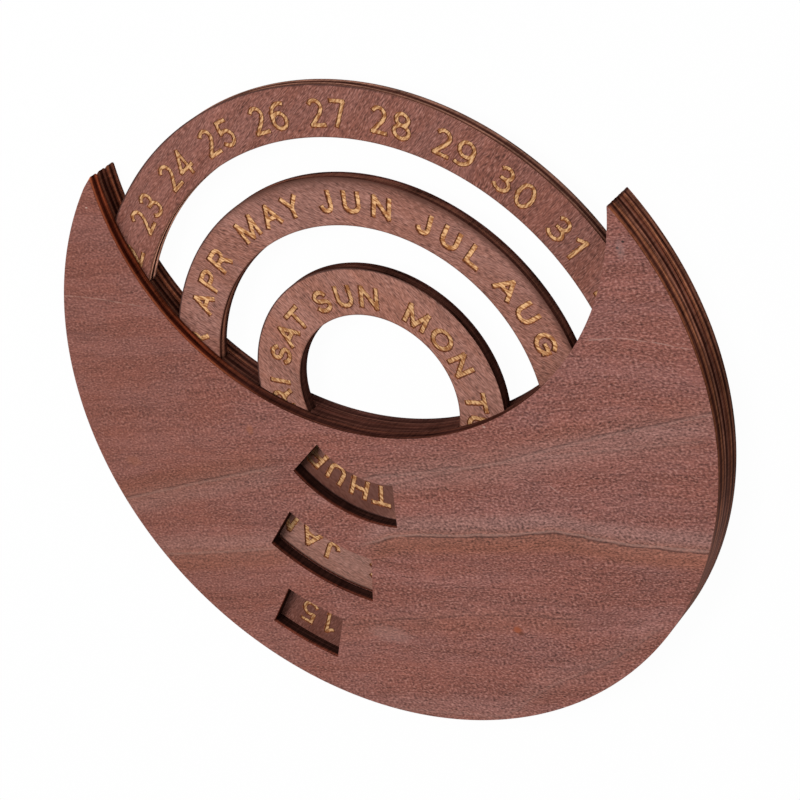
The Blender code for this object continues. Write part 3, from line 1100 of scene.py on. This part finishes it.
def cut_ring(ring, strokes, width, depth, heat, smoke, seed):
    """A ring with strokes of this width and depth, a browned border and a shift of the smoke."""
    name = "marked_" + ring + "_ring"
    finishes = (ring_veneers[ring], engraving_side, engraving_floors[ring], engraving_smoke)
    marked = marked_face(name + "_marks", ring, strokes, width, depth, heat, smoke, finishes, seed)
    radius, bore_radius = ring_radii[ring]
    outlines = [round_outline(radius), round_outline(bore_radius)[::-1]]
    finishes = (ring_veneers[ring], back_veneer, ring_edges[ring])
    return cut_piece(name, outlines, ring_foot, ring_thickness, finishes, marked)


pair_step = 12.95
single_step = (360.0 - 22 * pair_step) / 9
thirtieth = 51.15
ninth = thirtieth + 20 * pair_step + (pair_step + single_step) / 2
dates = {str(number): ninth + (9 - number) * single_step for number in range(1, 10)}
dates.update({str(number): thirtieth + (30 - number) * pair_step for number in range(10, 32)})
date_strokes = ring_strokes(dates, 58.97, 5.13, 0.0, digits, (-0.06, -0.15), cell=5.0)
date_piece = cut_ring("date", date_strokes, 0.90, 0.22, 0.06, (0.19, 0.0), 11)

# %% Month ring
months = {
    "JAN": -124.4, "FEB": -153.3, "MAR": 176.6, "APR": 146.6, "MAY": 115.9, "JUN": 86.7,
    "JUL": 57.9, "AUG": 29.4, "SEP": -0.9, "OCT": -30.7, "NOV": -61.6, "DEC": -91.9,
}
month_strokes = ring_strokes(months, 40.95, 4.0, 3.45, letters, (0.0, 0.0))
month_piece = cut_ring("month", month_strokes, 1.06, 0.27, 0.05, (-0.12, -0.09), 12)

# %% Weekday ring
weekdays = {
    "SAT": 146.5, "SUN": 98.4, "MON": 41.2, "TUE": -10.2, "WED": -61.3, "THUR": -119.8, "FRI": -172.0,
}
weekday_strokes = ring_strokes(weekdays, 21.0, 4.0, 2.62, letters, (-0.45, -0.50))
weekday_piece = cut_ring("weekday", weekday_strokes, 1.04, 0.26, 0.08, (0.15, -0.10), 13)

# %% [markdown]
# ## The case
#
# Two crescents with four arcs between them. The sheets all but touch, because only a thin dark glue
# line shows between them at the rim.

# %% Plates and arcs
sheet = 2.98
middle_foot = 3.01
front_foot = 6.02
windows = [
    window(18.6, 28.6, 18.4, 25.6),
    window(37.8, 48.5, 20.6, 25.8, 1.0, 0.6),
    window(56.1, 66.75, 13.9, 16.5),
]
plate = crescent(disc_radius)
finishes = (back_veneer, back_veneer, back_edge)
back_plate = cut_piece("back_crescent", [plate], 0.0, sheet, finishes, tip_wear=0.20)
finishes = (face_veneer, back_veneer, front_edge)
front_plate = cut_piece("front_crescent", [plate] + windows, front_foot, sheet, finishes, tip_wear=0.40)
arcs = {
    "outer_rim": band(67.65, disc_radius),
    "outer_guide": band(48.45, 56.05),
    "inner_guide": band(29.05, 37.55),
    "centre_spacer": crescent(18.15),
}
finishes = (back_veneer, back_veneer, middle_edge)
middle_pieces = {
    node: cut_piece(node + "_arc", [outline], middle_foot, sheet, finishes, tip_wear=0.40)
    for node, outline in arcs.items()
}

# %% [markdown]
# ## Riding on the frame
#
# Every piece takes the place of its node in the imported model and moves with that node's body.

# %% Hand the pieces over
def hand_over(piece, node, body):
    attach(piece, body)
    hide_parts(node)


hand_over(front_plate, "front_plate", "case")
hand_over(back_plate, "back_plate", "case")
for node, piece in middle_pieces.items():
    hand_over(piece, node, "case")
hand_over(date_piece, "date_ring", "date_ring")
hand_over(month_piece, "month_ring", "month_ring")
hand_over(weekday_piece, "weekday_ring", "weekday_ring")

# %% [markdown]
# ## Floor and light
#
# The picture has a white ground, so the floor is pale and partly glows to the camera, which leaves
# only a trace of the shadow. To every other ray it is a plain pale surface. One broad soft lamp
# stands beyond the bite, which is the upper left of the picture, and the even world fills the rest.

# %% The floor
def seen_directly(tree):
    """1 for rays from the camera, from a mirror or through glass."""
    rays = add_node(tree, "ShaderNodeLightPath", output="Is Camera Ray")
    node = rays.socket.node
    glossy = Wire(tree, node.outputs["Is Glossy Ray"])
    passed = Wire(tree, node.outputs["Is Transmission Ray"])
    return (rays + glossy + passed).math("MINIMUM", 1.0)


glow_share = 0.975
floor_material, tree = new_finish("pale_floor")
plain = add_node(tree, "ShaderNodeBsdfDiffuse", inputs={"Color": (0.86, 0.86, 0.86, 1.0)})
glow = add_node(tree, "ShaderNodeEmission", inputs={"Color": white, "Strength": 1.0})
both = add_node(tree, "ShaderNodeMixShader", inputs={0: seen_directly(tree) * glow_share, 1: plain, 2: glow})
add_node(tree, "ShaderNodeOutputMaterial", inputs={"Surface": both})
floor_mesh = bpy.data.meshes.new("pale_floor")
floor_reach = 4.0
floor_z = -0.2 * mm
corners = [(x * floor_reach, y * floor_reach, floor_z) for x, y in ((-1, -1), (1, -1), (1, 1), (-1, 1))]
floor_mesh.from_pydata(corners, [], [(0, 1, 2, 3)])
floor_mesh.materials.append(floor_material)
floor = into_scene(bpy.data.objects.new("pale_floor", floor_mesh))

# %% The lamp and the world
lamp_distance = 1.0
lamp = bpy.data.lights.new("window_lamp", "AREA")
lamp.shape = "DISK"
lamp.size = 0.60
lamp.energy = 7.4
light = into_scene(bpy.data.objects.new("window_lamp", lamp))
towards = Vector((-0.285, 0.37, 0.90)).normalized()
facing = towards.to_track_quat("Z", "Y").to_matrix().to_4x4()
light.matrix_world = Matrix.Translation(towards * lamp_distance) @ facing
world = bpy.data.worlds.new("studio")
bpy.context.scene.world = world
world.use_nodes = True
tree = world.node_tree
tree.nodes.clear()
even_light = 0.36
level = seen_directly(tree) * (1.0 - even_light) + even_light
sky = add_node(tree, "ShaderNodeBackground", inputs={"Color": white, "Strength": level})
add_node(tree, "ShaderNodeOutputWorld", inputs={"Surface": sky})
print("the lamp and the world are in place")
